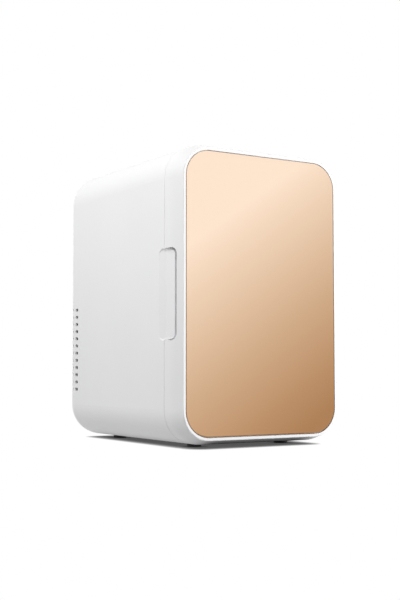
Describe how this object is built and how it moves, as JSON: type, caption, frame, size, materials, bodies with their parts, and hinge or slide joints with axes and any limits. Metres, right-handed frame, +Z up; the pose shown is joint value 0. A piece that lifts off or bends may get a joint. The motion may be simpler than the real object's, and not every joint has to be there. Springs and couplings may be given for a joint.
{
  "type": "mini fridge",
  "caption": "Small thermoelectric fridge: white rounded cabinet, gold glass-fronted door on hidden hinges with a side finger recess, vented rear cover, inner shelf and door rack.",
  "frame": {"origin": "middle of the fridge's box, on the plane its feet stand on", "axes": "+Z up, -Y towards the front of the door, +X to the right of someone facing the door"},
  "size_m": [0.212, 0.28, 0.324],
  "materials": {
    "white_shell": "satin",
    "gold_glass": "polished",
    "foam_tape": "matte",
    "white_liner": "satin",
    "white_foam": "matte",
    "soft_seal": "matte",
    "grey_rubber": "matte",
    "steel": "satin",
    "nylon": "satin",
    "bare_aluminium": "satin",
    "white_ceramic": "matte",
    "black_plastic": "satin",
    "green_board": "satin",
    "magnet": "satin",
    "nickel_pins": "polished"
  },
  "bodies": {
    "cabinet": {"ac_inlet": "black_plastic", "ac_inlet_pins": "nickel_pins", "board_parts": "black_plastic", "board_screws": "steel", "cabinet_insulation": "white_foam", "clamp_screws": "steel", "cold_block": "bare_aluminium", "cold_fan_cover": "white_liner", "cold_fan_cover_screws": "steel", "cold_fan_frame": "black_plastic", "cold_fan_screws": "steel", "cold_sink": "bare_aluminium", "dc_inlet": "black_plastic", "dc_inlet_pins": "nickel_pins", "fan_grille": "white_shell", "foot_front_left": "grey_rubber", "foot_front_right": "grey_rubber", "foot_rear_left": "grey_rubber", "foot_rear_right": "grey_rubber", "hinge_arm_lower": "steel", "hinge_arm_screws": "steel", "hinge_arm_upper": "steel", "hinge_bush_lower": "nylon", "hinge_bush_upper": "nylon", "hot_fan_frame": "black_plastic", "hot_fan_screws": "steel", "hot_heatsink": "bare_aluminium", "inner_liner": "white_liner", "liner_back_panel": "white_liner", "mode_switch_housing": "black_plastic", "outer_shell": "white_shell", "peltier_module": "white_ceramic", "peltier_seal": "white_foam", "power_board": "green_board", "rear_bulkhead": "white_liner", "rear_cover": "white_shell", "rear_cover_screws": "steel", "strike_frame": "steel"},
    "door": {"door_shell": "white_shell", "glass_panel": "gold_glass", "panel_tape": "foam_tape", "door_insulation": "white_foam", "door_liner": "white_liner", "rack_rails": "white_liner", "door_liner_screws": "steel", "door_gasket": "soft_seal", "door_magnets": "magnet", "hinge_pin_upper": "steel", "hinge_pin_lower": "steel"},
    "door_rack": {"door_rack": "white_liner"},
    "shelf": {"shelf": "white_liner"},
    "hot_fan": {"hot_fan_rotor": "black_plastic"},
    "cold_fan": {"cold_fan_rotor": "black_plastic"},
    "mode_rocker": {"mode_switch_rocker": "black_plastic"}
  },
  "joints": [
    {"name": "door_swing", "type": "hinge", "parent": "cabinet", "child": "door", "pos_m": [0.102, -0.1127, 0.164], "axis": [0, 0, 1], "range_deg": [0, 105]},
    {"name": "rack_lift", "type": "slide", "parent": "door", "child": "door_rack", "axis": [0, 0, 1], "range_m": [0, 0.028]},
    {"name": "shelf_slide", "type": "slide", "parent": "cabinet", "child": "shelf", "axis": [0, -1, 0], "range_m": [0, 0.028]},
    {"name": "hot_fan_spin", "type": "hinge", "parent": "cabinet", "child": "hot_fan", "pos_m": [0, 0.1154, 0.1074], "axis": [0, 1, 0], "continuous": true},
    {"name": "cold_fan_spin", "type": "hinge", "parent": "cabinet", "child": "cold_fan", "pos_m": [0, 0.0266, 0.1074], "axis": [0, 1, 0], "continuous": true},
    {"name": "mode_rock", "type": "hinge", "parent": "cabinet", "child": "mode_rocker", "pos_m": [-0.036, 0.1336, 0.232], "axis": [1, 0, 0], "range_deg": [-10, 10]}
  ]
}
